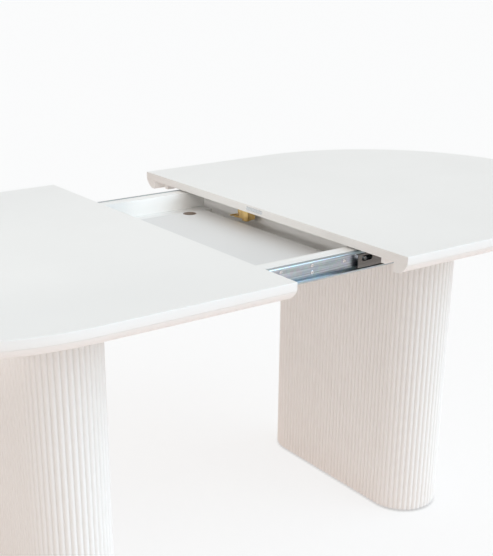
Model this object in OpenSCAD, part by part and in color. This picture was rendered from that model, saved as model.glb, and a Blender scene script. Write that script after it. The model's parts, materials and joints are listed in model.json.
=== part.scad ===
// Extendable dining table: a split top with rounded ends on two fluted column legs. The halves of
// the top run apart on telescopic slides over a fixed frame, and a folding leaf is stored between
// the aprons. The origin is on the floor under the middle of the table, +X is along the table and
// +Z is up. The table is drawn fully open, with the leaf in its box.

/* [Top] */
// Width of the top
top_w = 960; // [940:5:1000]
// Length of the closed top
closed_len = 1742; // [1700:2:1800]
// Height of the top's upper face above the floor
table_h = 755; // [750:1:765]
// Thickness of the top's boards
board_t = 18; // [18:1:20]
// Thickness of the built-up edge
edge_t = 38; // [36:1:40]
// Width of the strip that builds up the edge
edge_w = 37; // [34:1:40]

/* [Leaf] */
// Width of the leaf, which is the gap between the halves when they are open
leaf_w = 268; // [260:2:276]
// Thickness of each panel of the leaf
leaf_t = 15; // [14:1:15]
// Depth of the stored leaf's upper face below the top
leaf_drop = 53; // [50:1:54]
// Distance that the stored leaf lies to the right of the middle of its box
leaf_shift = 16; // [10:1:20]

/* [Frame] */
// Distance between the outer faces of the aprons
frame_w = 656; // [650:2:660]
// Length of the aprons
frame_len = 1120; // [1100:5:1140]
// Thickness of the aprons and rails
rail_t = 19; // [18:1:20]
// Height of the aprons
rail_h = 45; // [44:1:46]
// Distance between the end rails of the leaf box
box_len = 380; // [378:2:390]
// Thickness of the boards that line the sides of the leaf box
liner_t = 11; // [10:1:12]

/* [Legs] */
// Distance of each leg's middle from the middle of the table
leg_x = 462; // [455:1:465]
// Thickness of a leg along the table
leg_t = 170; // [165:1:172]
// Width of a leg across the table
leg_w = 540; // [530:2:542]
// Number of reeds on each flat side of a leg
side_reeds = 30; // [28:1:32]
// Number of reeds round each end of a leg
end_reeds = 22; // [20:1:24]
// Radius of a reed
reed_r = 6.6; // [6.4:0.1:7]
// Height of the floor glides
glide_h = 5; // [4:1:6]

/* [Slides] */
// Height of the fixed slide channel
slide_h = 42; // [41:1:42]
// Length of the sliding members
member_len = 360; // [340:5:370]
// Width of the steel strip that the slides are folded from
strip = 1.4; // [1.2:0.1:1.5]

/* [Hidden] */
$fn = 48;

// Levels above the floor
board_z = table_h - board_t;
slide_gap = 4;
rail_top = board_z - slide_gap;
rail_z = rail_top - rail_h;
leaf_top = table_h - leaf_drop;
leaf_mid = leaf_top - leaf_t;
leaf_z = leaf_mid - leaf_t;
felt_t = 1;
floor_t = 5;
floor_z = leaf_z - felt_t - floor_t;

// Top
top_r = top_w / 2;
half_gap = leaf_w / 2;
half_len = closed_len / 2;
end_x = half_gap + half_len - top_r;
end_clear = 1.5;
arris = 0.8;
// The edge is upright down to band_h, and below that an arc of radius under_r cuts under it
band_h = 16.5;
under_w = 24;
under_r = 47;
chord = sqrt(pow(under_w, 2) + pow(edge_t - band_h, 2));
chord_off = sqrt(pow(under_r, 2) - pow(chord / 2, 2));
under_cx = under_w / 2 + chord_off * (edge_t - band_h) / chord;
under_cz = -(band_h + edge_t) / 2 + chord_off * under_w / chord;

// Frame
apron_y = frame_w / 2;
inner_y = apron_y - rail_t;
box_x = box_len / 2;
box_floor_top = floor_z + floor_t;
box_screw_xs = [20, 100, 172];
box_screw_len = 18;
well_y = 274;
ledge_t = 5;
well_screw_len = rail_z - floor_z - 2;
corner_block = 34;

// Legs
leg_top = rail_z;
core_r = leg_t / 2 - reed_r;
straight = leg_w - leg_t;
leg_hole_r = 66;
plate_t = 18;
bolt_x = 45;
bolt_y = 165;
mount_board_t = 18;

// Slides: depths are measured outwards from the apron's outer face
slide_z = rail_top - slide_h;
lip = 3;
channel_d = 12.5;
ball_r = 2.2;
ball_d = 6.25;
ball_z = strip + 0.3 + ball_r;
member_z = ball_z + ball_r + 0.3;
member_in = 4.4;
member_d = 12.9;
cage_len = 200;
cage_x = half_gap + 66;
cage_d = 3.1;
cage_strip = 0.8;
ball_pitch = 40;
// Each screw's distance along the channel, and its height over the channel's middle line
channel_screws = [[-520, 5], [-390, -5], [-260, 5], [-150, -5], [-53, 9], [25, -6], [25, 9],
    [108, 4], [260, -5], [390, 5], [520, -5]];
bracket_xs = [126, 216, 306];
bracket_len = 50;
bracket_t = 2;
bracket_reach = 32;
bracket_screw_y = 22;
batten_y = 396;
batten_w = 12;
batten_h = 15;
batten_len = 340;
batten_x = 11;
batten_screw_xs = [35, 175, 310];

// Screws
wood_r = 2;
wood_len = 13;

// Leaf
leaf_y = top_w / 4;
leaf_x = half_gap - 1;
pull_x = 82;
pull_y = 222;
pull_r = 16;
pull_depth = 9;
pull_wall = 1.5;
hinge_x = 75;
hinge_len = 60;
hinge_knuckle = 18;
hinge_r = 3;
dowel_r = 4;
dowel_ys = [-160, 160];
dowel_in = 20;
dowel_out = 10;
felt_w = 30;
felt_ys = [-220, -15, 190];

// Catch: the lever's hook passes over a pin on the other half, hook_r from the lever's pivot
catch_y = 76;
pivot_x = 28;
pin_x = 20;
hook_r = pivot_x + pin_x;
hook_pin_r = 3;
pivot_r = 4;
lever_t = 3;
lever_z = board_z - 30;
lever_top = lever_z + lever_t;
catch_plate_t = 1.5;
catch_plate_y = 18;
catch_screw_x = 17;
catch_screw_y = 12;
catch_screw_len = 10;
housing_x = 11;
knob_r = 5;
knob_h = 12;
knob_turn = -16;

// Locator
locator_y = 10;
locator_z = table_h - 8.5;
locator_w = 60;
locator_h = 9;
locator_d = 2;
magnet_w = 50;
magnet_h = 6;
magnet_d = 10;

module on_side(side) { if (side > 0) children(); else mirror([0, 1, 0]) children(); }
module on_end(side) { if (side > 0) children(); else mirror([1, 0, 0]) children(); }
module both_sides() { for (side = [-1, 1]) on_side(side) children(); }
module both_ends() { for (side = [-1, 1]) on_end(side) children(); }
module box(x0, x1, y0, y1, z0, z1) { translate([x0, y0, z0]) cube([x1 - x0, y1 - y0, z1 - z0]); }
// Extrudes a section drawn in Y and Z along X
module along_x(x0, x1) { translate([x0, 0, 0]) rotate([90, 0, 90]) linear_extrude(x1 - x0) children(); }
// Turns a shape that points up into one that points along -Y, towards the table's middle
module inwards() { rotate([90, 0, 0]) children(); }

// A pan-head screw that points up, with the underside of its head at z = 0
module screw(r, len, head_r, head_h) {
    translate([0, 0, -head_h]) cylinder(r = head_r, h = head_h);
    cylinder(r = r, h = len);
}

// ---- Top ----
module under_arc() { translate([top_r - under_cx, table_h + under_cz]) circle(r = under_r, $fn = 96); }

module board_section() {
    intersection() {
        polygon([[0, board_z], [top_r, board_z], [top_r, table_h - arris], [top_r - arris, table_h],
            [0, table_h]]);
        union() {
            translate([-1, board_z - 1]) square([top_r - under_w, board_t + 2]);
            under_arc();
        }
    }
}

module band_section() {
    intersection() {
        translate([top_r - edge_w, table_h - edge_t]) square([edge_w, edge_t - board_t]);
        under_arc();
    }
}

// Sweeps a section of the right half's edge down one side, round the end and up the other side
module half_sweep() {
    both_sides() along_x(half_gap, end_x) children();
    translate([end_x, 0, 0]) rotate([0, 0, -90]) rotate_extrude(angle = 180, $fn = 180) children();
}

module board_screw_holes() {
    both_sides() {
        for (x = bracket_xs, dx = [12, 38])
            translate([half_gap + x + dx, apron_y + member_d + bracket_screw_y, board_z])
                cylinder(r = wood_r, h = wood_len);
        for (x = batten_screw_xs)
            translate([half_gap + x, batten_y + batten_w / 2, board_z]) cylinder(r = wood_r, h = wood_len);
    }
}

module right_board() {
    difference() {
        half_sweep() board_section();
        board_screw_holes();
        for (dy = [-catch_screw_y, catch_screw_y])
            translate([half_gap + pivot_x + catch_screw_x, catch_y + dy, board_z])
                cylinder(r = wood_r, h = catch_screw_len);
        translate([half_gap - 1, locator_y - locator_w / 2, locator_z - locator_h / 2])
            cube([locator_d + 1, locator_w, locator_h]);
    }
}

module left_board() {
    difference() {
        mirror([1, 0, 0]) half_sweep() board_section();
        mirror([1, 0, 0]) board_screw_holes();
        for (dy = [-catch_screw_y, catch_screw_y])
            translate([-half_gap - pin_x, catch_y + dy, board_z]) cylinder(r = wood_r, h = catch_screw_len);
        translate([-half_gap - magnet_d, locator_y - magnet_w / 2, locator_z - magnet_h / 2])
            cube([magnet_d + 1, magnet_w, magnet_h]);
    }
}

module edge_band(side) { color("whitesmoke") on_end(side) half_sweep() band_section(); }

module stiffening_battens(side) {
    color("white") on_end(side) both_sides() difference() {
        box(half_gap + batten_x, half_gap + batten_len, batten_y, batten_y + batten_w,
            board_z - batten_h, board_z);
        for (x = batten_screw_xs) translate([half_gap + x, batten_y + batten_w / 2, board_z - batten_h - 1]) {
            cylinder(r = wood_r, h = batten_h + 2);
            cylinder(r = 3.5, h = 5);
        }
    }
}

module batten_screws(side) {
    color("silver") on_end(side) both_sides() for (x = batten_screw_xs)
        translate([half_gap + x, batten_y + batten_w / 2, board_z - batten_h + 4])
            screw(wood_r, batten_h - 4 + wood_len, 3.5, 2.5);
}

// ---- Slides ----
// The fixed channel's section: a web against the apron, two flanges and their turned-in lips
module channel_section() {
    difference() {
        translate([apron_y, slide_z]) square([channel_d, slide_h]);
        translate([apron_y + strip, slide_z + strip]) square([channel_d - 2 * strip, slide_h - 2 * strip]);
        translate([apron_y + strip, slide_z + strip + lip]) square([channel_d, slide_h - 2 * (strip + lip)]);
    }
}

module member_section() {
    difference() {
        translate([apron_y + member_in, slide_z + member_z])
            square([member_d - member_in, slide_h - 2 * member_z]);
        translate([apron_y + member_in - 1, slide_z + member_z + strip])
            square([member_d - member_in - strip + 1, slide_h - 2 * (member_z + strip)]);
    }
}

module cage_section() {
    translate([apron_y + cage_d, slide_z + ball_z - cage_strip / 2])
        difference() {
            square([7, slide_h - 2 * ball_z + cage_strip]);
            translate([cage_strip, cage_strip]) square([7, slide_h - 2 * ball_z - cage_strip]);
        }
}

module cage_ball_places() {
    for (i = [0 : floor((cage_len - 20) / ball_pitch)], z = [ball_z, slide_h - ball_z])
        translate([cage_x + 20 + i * ball_pitch, apron_y + ball_d, slide_z + z]) children();
}

module channel_screw_places() {
    for (place = channel_screws)
        translate([place.x, 0, slide_z + slide_h / 2 + place.y]) children();
}

module apron(side) {
    color("white") on_side(side) difference() {
        box(-frame_len / 2, frame_len / 2, inner_y, apron_y, rail_z, rail_top);
        channel_screw_places() translate([0, apron_y + 1, 0])
            inwards() cylinder(r = wood_r, h = wood_len + 1);
    }
}

module slide_channel(side) {
    color("silver") on_side(side) difference() {
        along_x(-frame_len / 2, frame_len / 2) channel_section();
        channel_screw_places() translate([0, apron_y + 5, 0]) inwards() cylinder(r = wood_r, h = 10);
        for (x = [-165, 165]) translate([x, apron_y + 5, slide_z + slide_h / 2])
            inwards() cylinder(r = 4, h = 10);
    }
}

module slide_channel_screws() {
    color("gainsboro") both_sides() channel_screw_places()
        translate([0, apron_y + strip, 0]) inwards() screw(wood_r, wood_len + strip, 3.8, 1.2);
}

module slide_members(side) {
    color("silver") on_end(side) both_sides() difference() {
        along_x(half_gap + end_clear, half_gap + end_clear + member_len) member_section();
        for (x = bracket_xs, dx = [10, 40])
            translate([half_gap + x + dx, apron_y + member_d + 1, slide_z + slide_h / 2])
                inwards() cylinder(r = wood_r, h = 5);
        for (x = [100, 196, 286]) translate([half_gap + x, apron_y + member_d + 1, slide_z + slide_h / 2])
            inwards() cylinder(r = 4, h = 5);
        hull() for (x = [17, 34])
            translate([half_gap + x, apron_y + member_d + 1, slide_z + slide_h / 2 + 5])
                inwards() cylinder(r = 6, h = 5);
    }
}

module slide_brackets(side) {
    color("gainsboro") on_end(side) both_sides() for (x = bracket_xs) difference() {
        translate([half_gap + x, apron_y + member_d, 0]) {
            box(0, bracket_len, 0, bracket_t, slide_z + 9, board_z);
            box(0, bracket_len, 0, bracket_reach, board_z - bracket_t, board_z);
        }
        for (dx = [10, 40]) translate([half_gap + x + dx, apron_y + member_d + 5, slide_z + slide_h / 2])
            inwards() cylinder(r = wood_r, h = 8);
        for (dx = [12, 38]) translate([half_gap + x + dx, apron_y + member_d + bracket_screw_y, board_z - 5])
            cylinder(r = wood_r, h = 8);
    }
}

module bracket_screws(side) {
    color("silver") on_end(side) both_sides() for (x = bracket_xs) {
        for (dx = [10, 40])
            translate([half_gap + x + dx, apron_y + member_d + bracket_t, slide_z + slide_h / 2])
                inwards() screw(wood_r, 3.2, 3.8, 2.2);
        for (dx = [12, 38])
            translate([half_gap + x + dx, apron_y + member_d + bracket_screw_y, board_z - bracket_t])
                screw(wood_r, wood_len + bracket_t, 3.8, 1.6);
    }
}

module ball_cages(side) {
    color("gainsboro") on_end(side) both_sides() difference() {
        along_x(cage_x, cage_x + cage_len) cage_section();
        cage_ball_places() cylinder(r = ball_r + 0.3, h = 6, center = true);
    }
}

module cage_balls(side) { color("silver") on_end(side) both_sides() cage_ball_places() sphere(r = ball_r); }

// ---- Frame ----
// The middle of the box is a well that hangs below the aprons, between two ledges
module box_end_rail(side) {
    color("white") on_end(side) union() {
        box(box_x, box_x + rail_t, -inner_y, inner_y, rail_z, rail_top);
        box(box_x, box_x + rail_t, -well_y, well_y, box_floor_top, rail_z + 1);
    }
}

module floor_screw_places() {
    both_ends() both_sides() for (x = box_screw_xs)
        translate([x, well_y - liner_t / 2, floor_z]) children();
}

module ledge_screw_places() {
    both_ends() both_sides() for (x = box_screw_xs)
        translate([x, inner_y - liner_t / 2, rail_z]) children();
}

module box_floor_panel() {
    color("white") difference() {
        box(-box_x - rail_t, box_x + rail_t, -well_y, well_y, floor_z, floor_z + floor_t);
        floor_screw_places() translate([0, 0, -1]) cylinder(r = wood_r, h = floor_t + 2);
    }
}

module box_well_sides() {
    color("white") difference() {
        both_sides() box(-box_x, box_x, well_y - liner_t, well_y, box_floor_top, rail_z);
        floor_screw_places() cylinder(r = wood_r, h = well_screw_len);
    }
}

module box_ledges() {
    color("white") difference() {
        both_sides() box(-box_x, box_x, well_y - liner_t, inner_y, rail_z, rail_z + ledge_t);
        ledge_screw_places() translate([0, 0, -1]) cylinder(r = wood_r, h = ledge_t + 2);
    }
}

module box_side_liners() {
    color("white") difference() {
        both_sides() box(-box_x, box_x, inner_y - liner_t, inner_y, rail_z + ledge_t, rail_top);
        ledge_screw_places() cylinder(r = wood_r, h = box_screw_len);
    }
}

module storage_box_screws() {
    color("silver") {
        floor_screw_places() screw(wood_r, well_screw_len, 4, 1.5);
        ledge_screw_places() screw(wood_r, box_screw_len, 4, 1.5);
    }
}

module corner_blocks() {
    color("burlywood") both_ends() both_sides() translate([box_x + rail_t, inner_y, rail_z + 4])
        linear_extrude(rail_h - 10) polygon([[0, 0], [corner_block, 0], [0, -corner_block]]);
}

module leg_bolt_places() {
    for (x = [-bolt_x, bolt_x], y = [-bolt_y, 0, bolt_y]) translate([leg_x + x, y, 0]) children();
}

module leg_mounting_board(side) {
    color("burlywood") on_end(side) difference() {
        box(leg_x - 75, leg_x + 75, -inner_y, inner_y, rail_z, rail_z + mount_board_t);
        leg_bolt_places() translate([0, 0, rail_z - 1]) cylinder(r = 4, h = mount_board_t + 2);
    }
}

module leg_cross_rails(side) {
    color("burlywood") on_end(side) for (x = [leg_x - 75, leg_x + 75 - rail_t])
        box(x, x + rail_t, -inner_y, inner_y, rail_z + mount_board_t, rail_top);
}

// ---- Legs ----
module stadium(r, flat) {
    translate([-r, -flat / 2]) square([2 * r, flat]);
    for (y = [-flat / 2, flat / 2]) translate([0, y]) circle(r = r, $fn = 96);
}

// The leg's plan: a stadium with a row of half-round reeds all the way round
module reeded_outline() {
    pitch = straight / side_reeds;
    stadium(core_r + 2, straight);
    for (side = [-1, 1], i = [0 : side_reeds - 1])
        translate([side * core_r, -straight / 2 + pitch * (i + 0.5)]) circle(r = reed_r, $fn = 32);
    for (side = [-1, 1], i = [0 : end_reeds - 1])
        translate([0, side * straight / 2]) rotate(side * 90 - 90 + (i + 0.5) * 180 / end_reeds)
            translate([core_r, 0]) circle(r = reed_r, $fn = 32);
}

module leg_shell(side) {
    color("whitesmoke") translate([side * leg_x, 0, glide_h]) linear_extrude(leg_top - glide_h) difference() {
        reeded_outline();
        stadium(leg_hole_r, straight);
    }
}

module leg_plate(side, z) {
    translate([side * leg_x, 0, z]) linear_extrude(plate_t) stadium(leg_hole_r - 0.2, straight);
}

module leg_top_plate(side) {
    color("burlywood") difference() {
        leg_plate(side, leg_top - plate_t);
        on_end(side) leg_bolt_places() translate([0, 0, leg_top - plate_t - 1])
            cylinder(r = 4, h = plate_t + 2);
    }
}

module leg_bottom_plate(side) { color("burlywood") leg_plate(side, glide_h); }

module leg_ribs(side) {
    color("burlywood") translate([side * leg_x, 0, 0]) for (y = [-straight / 4, straight / 4])
        box(-leg_hole_r + 0.2, leg_hole_r - 0.2, y - 9, y + 9, glide_h + plate_t, leg_top - plate_t);
}

module leg_bolts() {
    color("silver") both_ends() leg_bolt_places() {
        translate([0, 0, rail_z + mount_board_t + 1.6]) cylinder(r = 7, h = 5, $fn = 6);
        translate([0, 0, leg_top - plate_t]) cylinder(r = 4, h = plate_t + mount_board_t + 1.6);
    }
}

module leg_bolt_washers() {
    color("gainsboro") both_ends() leg_bolt_places() translate([0, 0, rail_z + mount_board_t]) difference() {
        cylinder(r = 10, h = 1.6);
        translate([0, 0, -1]) cylinder(r = 4, h = 4);
    }
}

module floor_glides() {
    color("dimgray") both_ends() both_sides() for (x = [-bolt_x, bolt_x], y = [60, bolt_y])
        translate([leg_x + x, y, 0]) {
            cylinder(r1 = 14, r2 = 15, h = 1.5);
            translate([0, 0, 1.5]) cylinder(r = 15, h = glide_h - 1.5);
        }
}

// ---- Leaf ----
// The leaf is folded in half, upper panel over lower, and is drawn about its own middle
module stored() { translate([leaf_shift, 0, 0]) children(); }
module leaf_panel(z) { box(-leaf_x, leaf_x, -leaf_y, leaf_y, z, z + leaf_t); }

module leaf_dowel_places() {
    for (z = [leaf_z, leaf_mid], y = dowel_ys) translate([leaf_x, y, z + leaf_t / 2]) children();
}

module leaf_dowel_holes() { leaf_dowel_places() rotate([0, -90, 0]) cylinder(r = dowel_r, h = dowel_in); }

module leaf_lower_panel() {
    color("whitesmoke") stored() difference() {
        leaf_panel(leaf_z);
        leaf_dowel_holes();
    }
}

module leaf_upper_panel() {
    color("whitesmoke") stored() difference() {
        leaf_panel(leaf_mid);
        leaf_dowel_holes();
        translate([pull_x, pull_y, leaf_top - pull_depth]) cylinder(r = pull_r, h = pull_depth + 1);
    }
}

module leaf_finger_pull() {
    color("saddlebrown") stored() translate([pull_x, pull_y, leaf_top - pull_depth]) difference() {
        cylinder(r = pull_r, h = pull_depth);
        translate([0, 0, pull_wall]) cylinder(r = pull_r - pull_wall, h = pull_depth);
    }
}

// A strip of hinge with its knuckles from x0 to x0 + hinge_knuckle, drawn for the upper panel
module hinge_half(knuckles) {
    box(-hinge_len / 2, hinge_len / 2, 0, 1.5, hinge_r + 0.3, 12);
    for (x = knuckles) translate([x + 0.3, hinge_r + 0.3, 0]) difference() {
        union() {
            rotate([0, 90, 0]) cylinder(r = hinge_r, h = hinge_knuckle - 0.6);
            box(0, hinge_knuckle - 0.6, -hinge_r - 0.3, 0, 0, hinge_r + 0.5);
        }
        translate([-1, 0, 0]) rotate([0, 90, 0]) cylinder(r = 1.25, h = hinge_knuckle + 2);
    }
}

module leaf_hinge_plates(upper) {
    color("goldenrod") stored() both_ends() translate([hinge_x, leaf_y, leaf_mid])
        if (upper) hinge_half([-30, 6]);
        else mirror([0, 0, 1]) hinge_half([-12]);
}

module leaf_hinge_pins() {
    color("darkgoldenrod") stored() both_ends()
        translate([hinge_x - hinge_len / 2, leaf_y + hinge_r + 0.3, leaf_mid])
            rotate([0, 90, 0]) cylinder(r = 1.2, h = hinge_len - 6);
}

module leaf_dowels() {
    color("burlywood") stored() leaf_dowel_places() translate([-dowel_in, 0, 0])
        rotate([0, 90, 0]) cylinder(r = dowel_r, h = dowel_in + dowel_out);
}

module leaf_felt_strips() {
    color("dimgray") stored() for (y = felt_ys)
        box(-leaf_x + 10, leaf_x - 10, y, y + felt_w, leaf_z - felt_t, leaf_z);
}

// ---- Locator and catches ----
module left_locator_magnet() {
    color("silver") translate([-half_gap - magnet_d, locator_y - magnet_w / 2, locator_z - magnet_h / 2])
        cube([magnet_d, magnet_w, magnet_h]);
}

module right_locator_plate() {
    color("silver") translate([half_gap, locator_y - locator_w / 2, locator_z - locator_h / 2])
        cube([locator_d, locator_w, locator_h]);
}

module left_catch_keeper() {
    color("goldenrod") translate([-half_gap - pin_x, catch_y, 0]) {
        box(-9, 9, -catch_plate_y, catch_plate_y, board_z - catch_plate_t, board_z);
        translate([0, 0, lever_z - 2]) cylinder(r = hook_pin_r, h = board_z - lever_z + 1);
        for (dy = [-catch_screw_y, catch_screw_y]) translate([0, dy, board_z - catch_plate_t])
            screw(wood_r, catch_screw_len, 3.5, 1.5);
    }
}

module right_catch_housing() {
    color("goldenrod") translate([half_gap + pivot_x, catch_y, 0]) {
        box(-housing_x, 22, -catch_plate_y, catch_plate_y, board_z - catch_plate_t, board_z);
        box(-housing_x, housing_x, -catch_plate_y, catch_plate_y, lever_top + 0.3, board_z - catch_plate_t);
        translate([0, 0, lever_z - 2]) cylinder(r = pivot_r, h = lever_t + 3);
        translate([0, 0, lever_z - 2.3]) cylinder(r = pivot_r + 2.5, h = 2);
        for (dy = [-catch_screw_y, catch_screw_y]) translate([catch_screw_x, dy, board_z - catch_plate_t])
            screw(wood_r, catch_screw_len, 3.5, 1.5);
    }
}

// A sector of a ring between two angles
module sector(r0, r1, a0, a1) {
    turns = [for (i = [0 : 3]) a0 + (a1 - a0) * i / 3];
    intersection() {
        difference() { circle(r = r1, $fn = 96); circle(r = r0, $fn = 96); }
        polygon([[0, 0], for (turn = turns) 1.2 * r1 * [cos(turn), sin(turn)]]);
    }
}

// The lever points along +Y at rest, and its hook is open on the side that it swings towards
module catch_lever() {
    color("goldenrod") translate([half_gap + pivot_x, catch_y, lever_z]) rotate(90) {
        linear_extrude(lever_t) difference() {
            union() {
                circle(r = 11);
                sector(1, hook_r + 9, -24, 8);
            }
            circle(r = pivot_r + 0.05);
            sector(hook_r - hook_pin_r - 0.6, hook_r + hook_pin_r + 0.6, -7, 40);
        }
        rotate(knob_turn) translate([hook_r, 0, lever_t - 1]) cylinder(r = knob_r, h = knob_h + 1);
    }
}

module near_apron() { apron(-1); }
module far_apron() { apron(1); }
module left_box_end_rail() { box_end_rail(-1); }
module right_box_end_rail() { box_end_rail(1); }
module left_leg_mounting_board() { leg_mounting_board(-1); }
module right_leg_mounting_board() { leg_mounting_board(1); }
module left_leg_cross_rails() { leg_cross_rails(-1); }
module right_leg_cross_rails() { leg_cross_rails(1); }
module near_slide_channel() { slide_channel(-1); }
module far_slide_channel() { slide_channel(1); }
module left_leg_shell() { leg_shell(-1); }
module right_leg_shell() { leg_shell(1); }
module left_leg_top_plate() { leg_top_plate(-1); }
module right_leg_top_plate() { leg_top_plate(1); }
module left_leg_bottom_plate() { leg_bottom_plate(-1); }
module right_leg_bottom_plate() { leg_bottom_plate(1); }
module left_leg_ribs() { leg_ribs(-1); }
module right_leg_ribs() { leg_ribs(1); }
module leaf_hinge_lower_plates() { leaf_hinge_plates(false); }
module leaf_hinge_upper_plates() { leaf_hinge_plates(true); }
module left_top_board() { color("whitesmoke") left_board(); }
module right_top_board() { color("whitesmoke") right_board(); }
module left_edge_band() { edge_band(-1); }
module right_edge_band() { edge_band(1); }
module left_stiffening_battens() { stiffening_battens(-1); }
module right_stiffening_battens() { stiffening_battens(1); }
module batten_screws_left() { batten_screws(-1); }
module batten_screws_right() { batten_screws(1); }
module left_slide_members() { slide_members(-1); }
module right_slide_members() { slide_members(1); }
module left_slide_brackets() { slide_brackets(-1); }
module right_slide_brackets() { slide_brackets(1); }
module left_bracket_screws() { bracket_screws(-1); }
module right_bracket_screws() { bracket_screws(1); }
module left_ball_cages() { ball_cages(-1); }
module right_ball_cages() { ball_cages(1); }
module left_cage_balls() { cage_balls(-1); }
module right_cage_balls() { cage_balls(1); }

near_apron();
far_apron();
left_box_end_rail();
right_box_end_rail();
box_floor_panel();
box_well_sides();
box_ledges();
box_side_liners();
storage_box_screws();
corner_blocks();
left_leg_mounting_board();
right_leg_mounting_board();
left_leg_cross_rails();
right_leg_cross_rails();
near_slide_channel();
far_slide_channel();
slide_channel_screws();
left_leg_shell();
right_leg_shell();
left_leg_top_plate();
right_leg_top_plate();
left_leg_bottom_plate();
right_leg_bottom_plate();
left_leg_ribs();
right_leg_ribs();
leg_bolts();
leg_bolt_washers();
floor_glides();
leaf_lower_panel();
leaf_upper_panel();
leaf_hinge_lower_plates();
leaf_hinge_upper_plates();
leaf_hinge_pins();
leaf_dowels();
leaf_finger_pull();
leaf_felt_strips();
left_top_board();
right_top_board();
left_edge_band();
right_edge_band();
left_stiffening_battens();
right_stiffening_battens();
batten_screws_left();
batten_screws_right();
left_slide_members();
right_slide_members();
left_slide_brackets();
right_slide_brackets();
left_bracket_screws();
right_bracket_screws();
left_ball_cages();
right_ball_cages();
left_cage_balls();
right_cage_balls();
left_locator_magnet();
right_locator_plate();
left_catch_keeper();
right_catch_housing();
catch_lever();
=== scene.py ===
import json
import math

import bmesh
import bpy
from mathutils import Matrix, Vector
from mathutils.geometry import tessellate_polygon


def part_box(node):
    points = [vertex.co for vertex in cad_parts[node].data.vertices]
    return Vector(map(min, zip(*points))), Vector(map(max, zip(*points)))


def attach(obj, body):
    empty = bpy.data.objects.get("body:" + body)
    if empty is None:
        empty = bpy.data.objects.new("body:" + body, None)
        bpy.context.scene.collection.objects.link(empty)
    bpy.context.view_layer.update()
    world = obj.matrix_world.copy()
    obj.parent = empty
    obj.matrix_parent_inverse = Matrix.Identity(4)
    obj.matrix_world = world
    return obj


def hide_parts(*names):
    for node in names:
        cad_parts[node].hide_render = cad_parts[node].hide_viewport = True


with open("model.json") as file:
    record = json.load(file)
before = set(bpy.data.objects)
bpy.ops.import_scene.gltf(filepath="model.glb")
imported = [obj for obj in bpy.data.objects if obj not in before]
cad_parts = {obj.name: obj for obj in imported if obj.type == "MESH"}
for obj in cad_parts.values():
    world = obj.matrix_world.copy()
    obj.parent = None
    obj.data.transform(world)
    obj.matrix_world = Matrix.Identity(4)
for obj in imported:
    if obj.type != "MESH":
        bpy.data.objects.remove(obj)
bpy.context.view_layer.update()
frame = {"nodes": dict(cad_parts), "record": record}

SHARP = math.radians(32)
MM = 0.001


# ---------------------------------------------------------------- mesh helpers
def make_object(name, bm, materials, sharp=SHARP):
    """Turns a bmesh into a smooth-shaded object whose edges over the sharp angle stay crisp."""
    bmesh.ops.recalc_face_normals(bm, faces=bm.faces)
    for face in bm.faces:
        face.smooth = True
    for edge in bm.edges:
        if len(edge.link_faces) == 2 and edge.calc_face_angle(0) > sharp:
            edge.smooth = False
    mesh = bpy.data.meshes.new(name)
    bm.to_mesh(mesh)
    bm.free()
    for material in materials:
        mesh.materials.append(material)
    obj = bpy.data.objects.new(name, mesh)
    bpy.context.scene.collection.objects.link(obj)
    return obj


def add_piece(name, bm, material, slot, body, *nodes):
    """Adds a piece that rides on a body and stands for the CAD nodes named."""
    obj = make_object(name, bm, [MATERIALS[material]])
    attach(obj, body)
    if nodes:
        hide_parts(*nodes)


def bridge_loops(bm, loops, closed=True):
    """Joins rows of vertices with quads. A closed row's last vertex meets its first."""
    for low, high in zip(loops, loops[1:]):
        count = len(low)
        for i in range(count if closed else count - 1):
            j = (i + 1) % count
            bm.faces.new((low[i], low[j], high[j], high[i]))


def flat_cap(bm, loop):
    """Closes a row with one flat face whose rim is a crease, so that it shades flat."""
    face = bm.faces.new(loop)
    for edge in face.edges:
        edge.smooth = False


def stack_loops(bm, rows):
    """Builds a closed solid from rows of (x, y, z) points, capped at both ends."""
    loops = [[bm.verts.new(point) for point in row] for row in rows]
    bridge_loops(bm, loops)
    flat_cap(bm, list(reversed(loops[0])))
    flat_cap(bm, loops[-1])


def rounded(radius, steps=4):
    """(inset, drop) pairs round a convex edge, from the flat face to the side face."""
    turns = [math.pi / 2 * i / steps for i in range(steps + 1)]
    return [(radius * (1 - math.sin(t)), radius * (1 - math.cos(t))) for t in turns]


def add_box(bm, low, high, radius, steps=3):
    """Adds a box with rounded edges along every side."""
    (x0, y0, z0), (x1, y1, z1) = low, high
    levels = [(inset, z0 + drop) for inset, drop in rounded(radius, steps)]
    levels += [(inset, z1 - drop) for inset, drop in reversed(rounded(radius, steps))]
    rows = []
    for inset, z in levels:
        row = []
        centres = [(x1 - radius, y1 - radius, 0), (x0 + radius, y1 - radius, 1),
                   (x0 + radius, y0 + radius, 2), (x1 - radius, y0 + radius, 3)]
        for cx, cy, quarter in centres:
            for i in range(steps + 1):
                turn = math.pi / 2 * (quarter + i / steps)
                reach = radius - inset
                row.append((cx + reach * math.cos(turn), cy + reach * math.sin(turn), z))
        rows.append(row)
    stack_loops(bm, rows)


def add_turned(bm, profile, place, segments=32):
    """Adds a solid of revolution about Z from (radius, height) pairs that start and end on the axis."""
    rows = []
    for radius, height in profile[1:-1]:
        rows.append([place @ Vector((x, y, height)) for x, y in circle(0, 0, radius, segments)])
    loops = [[bm.verts.new(point) for point in row] for row in rows]
    bridge_loops(bm, loops)
    for loop, (_, height) in ((loops[0], profile[0]), (loops[-1], profile[-1])):
        tip = bm.verts.new(place @ Vector((0, 0, height)))
        for i in range(segments):
            bm.faces.new((loop[i], loop[(i + 1) % segments], tip))


def circle(u, v, radius, steps=20):
    turns = [2 * math.pi * i / steps for i in range(steps)]
    return [(u + radius * math.cos(t), v + radius * math.sin(t)) for t in turns]


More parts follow.
